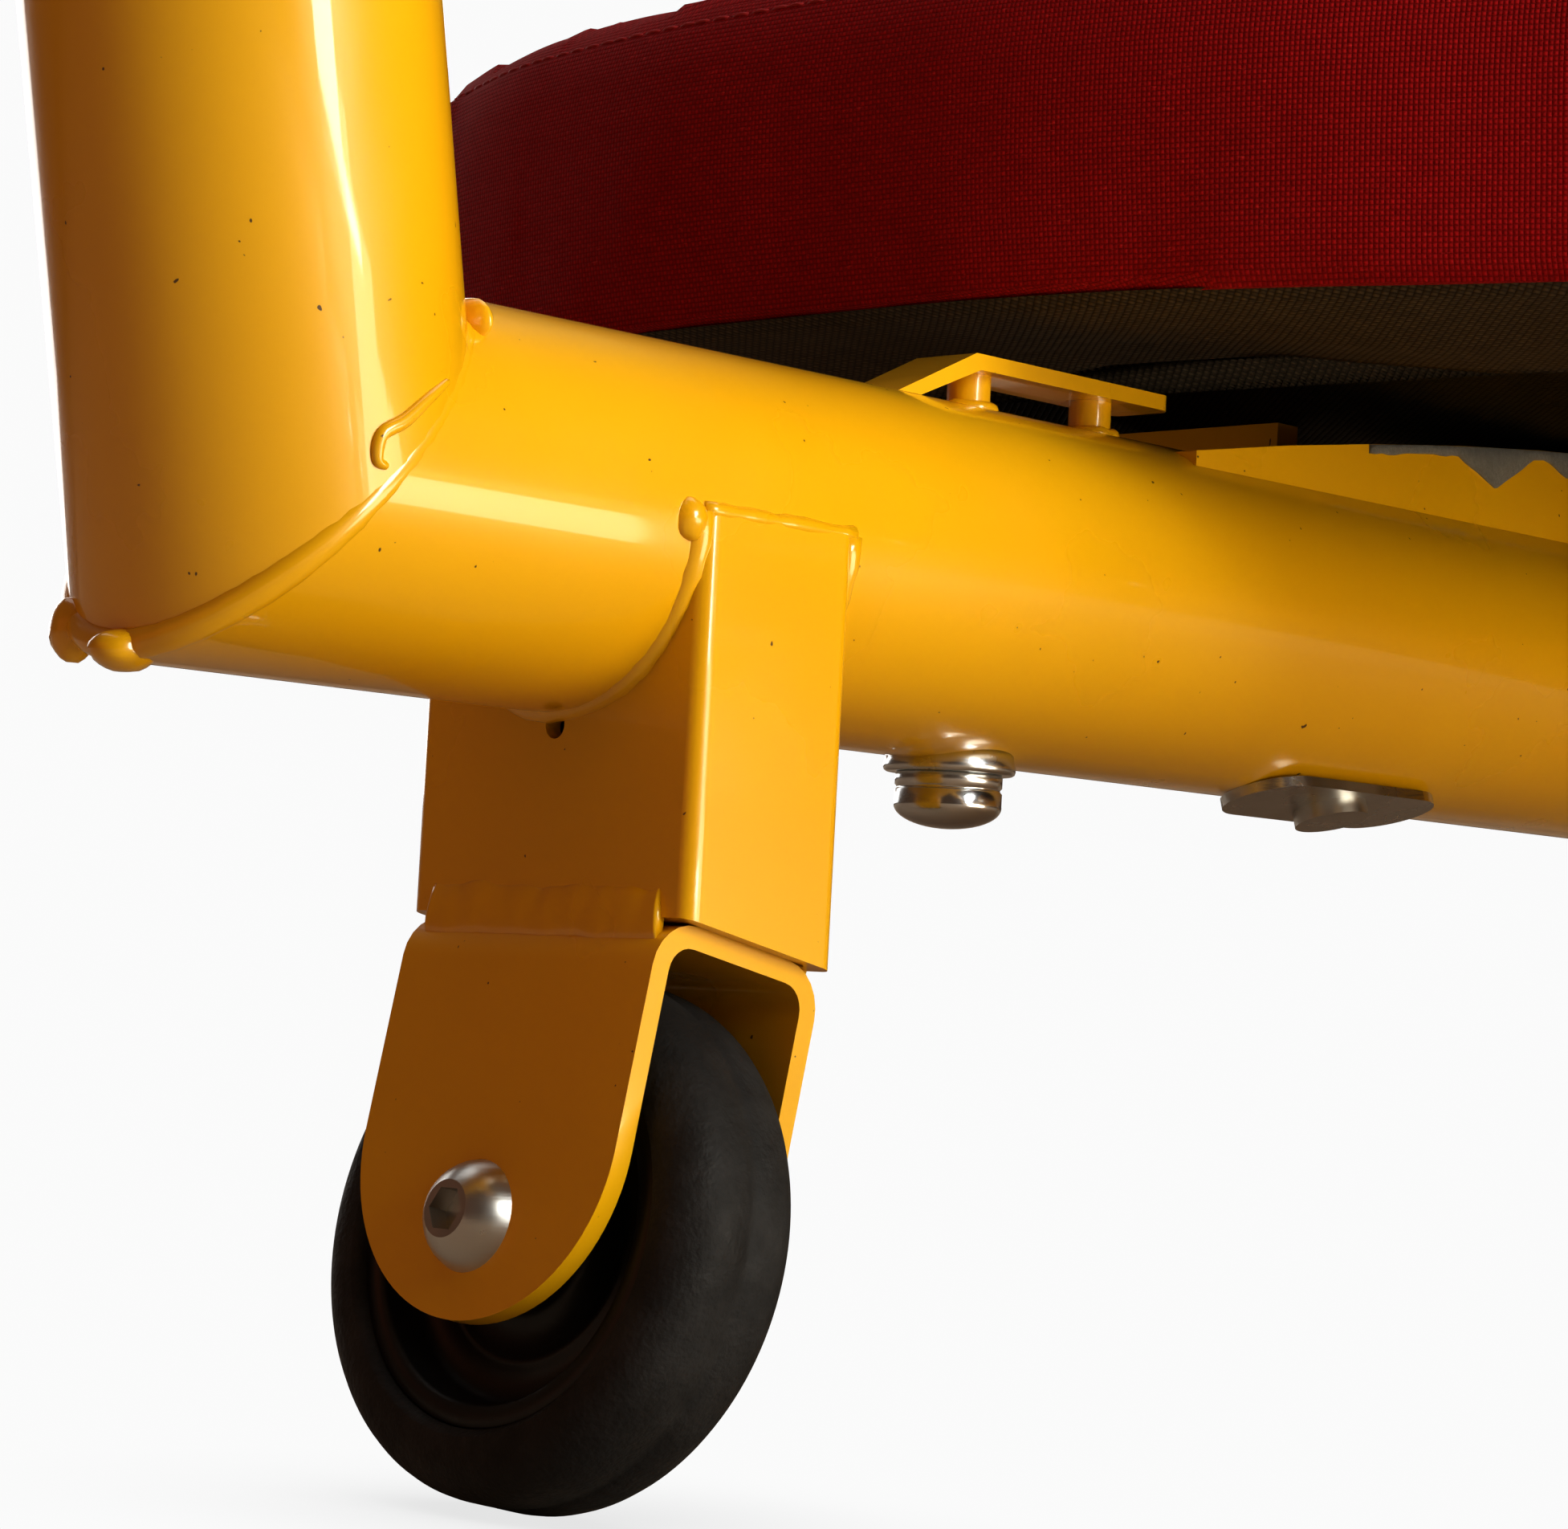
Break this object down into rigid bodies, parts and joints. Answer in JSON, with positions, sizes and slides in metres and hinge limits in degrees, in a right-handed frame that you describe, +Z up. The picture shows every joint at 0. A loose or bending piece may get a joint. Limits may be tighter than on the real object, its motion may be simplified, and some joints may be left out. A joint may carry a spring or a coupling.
{
  "type": "mechanics creeper",
  "caption": "Low rolling platform with a padded contoured deck, tilting headrest, round tube frame, leaning side grab rails, splayed fixed wheels and swivel casters.",
  "frame": {"origin": "on the floor under the middle of the bounding box", "axes": "+X across the creeper, +Y towards the head end, +Z up"},
  "size_m": [0.7684, 1.0721, 0.3121],
  "materials": {
    "powder_coat": "glossy yellow powder coat",
    "zinc": "bright zinc plate",
    "chrome": "polished",
    "tyre": "matt moulded rubber",
    "wheel_hub": "moulded black nylon",
    "plywood": "unfinished plywood",
    "black_cloth": "woven black lining",
    "red_canvas": "coarse woven canvas",
    "knob_plastic": "moulded black plastic"
  },
  "bodies": {
    "frame": {"head_cross_tube": "powder_coat", "foot_cross_tube": "powder_coat", "left_side_rail": "powder_coat", "right_side_rail": "powder_coat", "spine_tube": "powder_coat", "head_left_wheel_post": "powder_coat", "head_right_wheel_post": "powder_coat", "foot_left_caster_post": "powder_coat", "foot_right_caster_post": "powder_coat", "head_left_fork": "powder_coat", "head_right_fork": "powder_coat", "deck_saddles": "powder_coat", "deck_crossbars": "powder_coat", "strap_cleats": "powder_coat", "headrest_left_arm": "powder_coat", "headrest_right_arm": "powder_coat", "head_axle_bolts": "zinc", "head_axle_washers": "zinc", "head_axle_nuts": "zinc", "head_axle_sleeves": "zinc", "deck_screws": "zinc", "cleat_bolts": "zinc", "clip_plates": "zinc", "clip_screws": "zinc", "headrest_pivot_bolts": "zinc", "foot_left_caster_plate": "zinc", "foot_left_kingpin": "zinc", "foot_right_caster_plate": "zinc", "foot_right_kingpin": "zinc", "dome_nuts": "chrome", "dome_nut_washers": "chrome", "deck_board": "plywood", "underside_cover": "black_cloth", "main_cushion": "red_canvas", "headrest_knobs": "knob_plastic"},
    "head_left_wheel": {"head_left_tyre": "tyre", "head_left_hub": "wheel_hub"},
    "head_right_wheel": {"head_right_tyre": "tyre", "head_right_hub": "wheel_hub"},
    "foot_left_caster": {"foot_left_caster_fork": "zinc", "foot_left_bearing_balls": "zinc", "foot_left_axle_bolt": "zinc", "foot_left_axle_nut": "zinc", "foot_left_axle_sleeve": "zinc"},
    "foot_right_caster": {"foot_right_caster_fork": "zinc", "foot_right_bearing_balls": "zinc", "foot_right_axle_bolt": "zinc", "foot_right_axle_nut": "zinc", "foot_right_axle_sleeve": "zinc"},
    "foot_left_wheel": {"foot_left_tyre": "tyre", "foot_left_hub": "wheel_hub"},
    "foot_right_wheel": {"foot_right_tyre": "tyre", "foot_right_hub": "wheel_hub"},
    "headrest": {"headrest_bracket": "powder_coat", "headrest_board": "plywood", "headrest_cushion": "red_canvas"}
  },
  "joints": [
    {"name": "head_left_wheel_spin", "type": "hinge", "parent": "frame", "child": "head_left_wheel", "pos_m": [-0.26954, 0.18411, 0.03365], "axis": [0.9801, 0, -0.1985], "continuous": true},
    {"name": "head_right_wheel_spin", "type": "hinge", "parent": "frame", "child": "head_right_wheel", "pos_m": [0.26954, 0.18411, 0.03365], "axis": [0.9801, 0, 0.1985], "continuous": true},
    {"name": "foot_left_caster_swivel", "type": "hinge", "parent": "frame", "child": "foot_left_caster", "pos_m": [-0.2615, -0.33111, 0.08], "axis": [0, 0, 1], "continuous": true},
    {"name": "foot_left_wheel_spin", "type": "hinge", "parent": "foot_left_caster", "child": "foot_left_wheel", "pos_m": [-0.2615, -0.35311, 0.0334], "axis": [1, 0, 0], "continuous": true},
    {"name": "foot_right_caster_swivel", "type": "hinge", "parent": "frame", "child": "foot_right_caster", "pos_m": [0.2615, -0.33111, 0.08], "axis": [0, 0, 1], "continuous": true},
    {"name": "foot_right_wheel_spin", "type": "hinge", "parent": "foot_right_caster", "child": "foot_right_wheel", "pos_m": [0.2615, -0.35311, 0.0334], "axis": [1, 0, 0], "continuous": true},
    {"name": "headrest_tilt", "type": "hinge", "parent": "frame", "child": "headrest", "pos_m": [0, 0.43111, 0.16653], "axis": [1, 0, 0], "range_deg": [0, 30]}
  ]
}
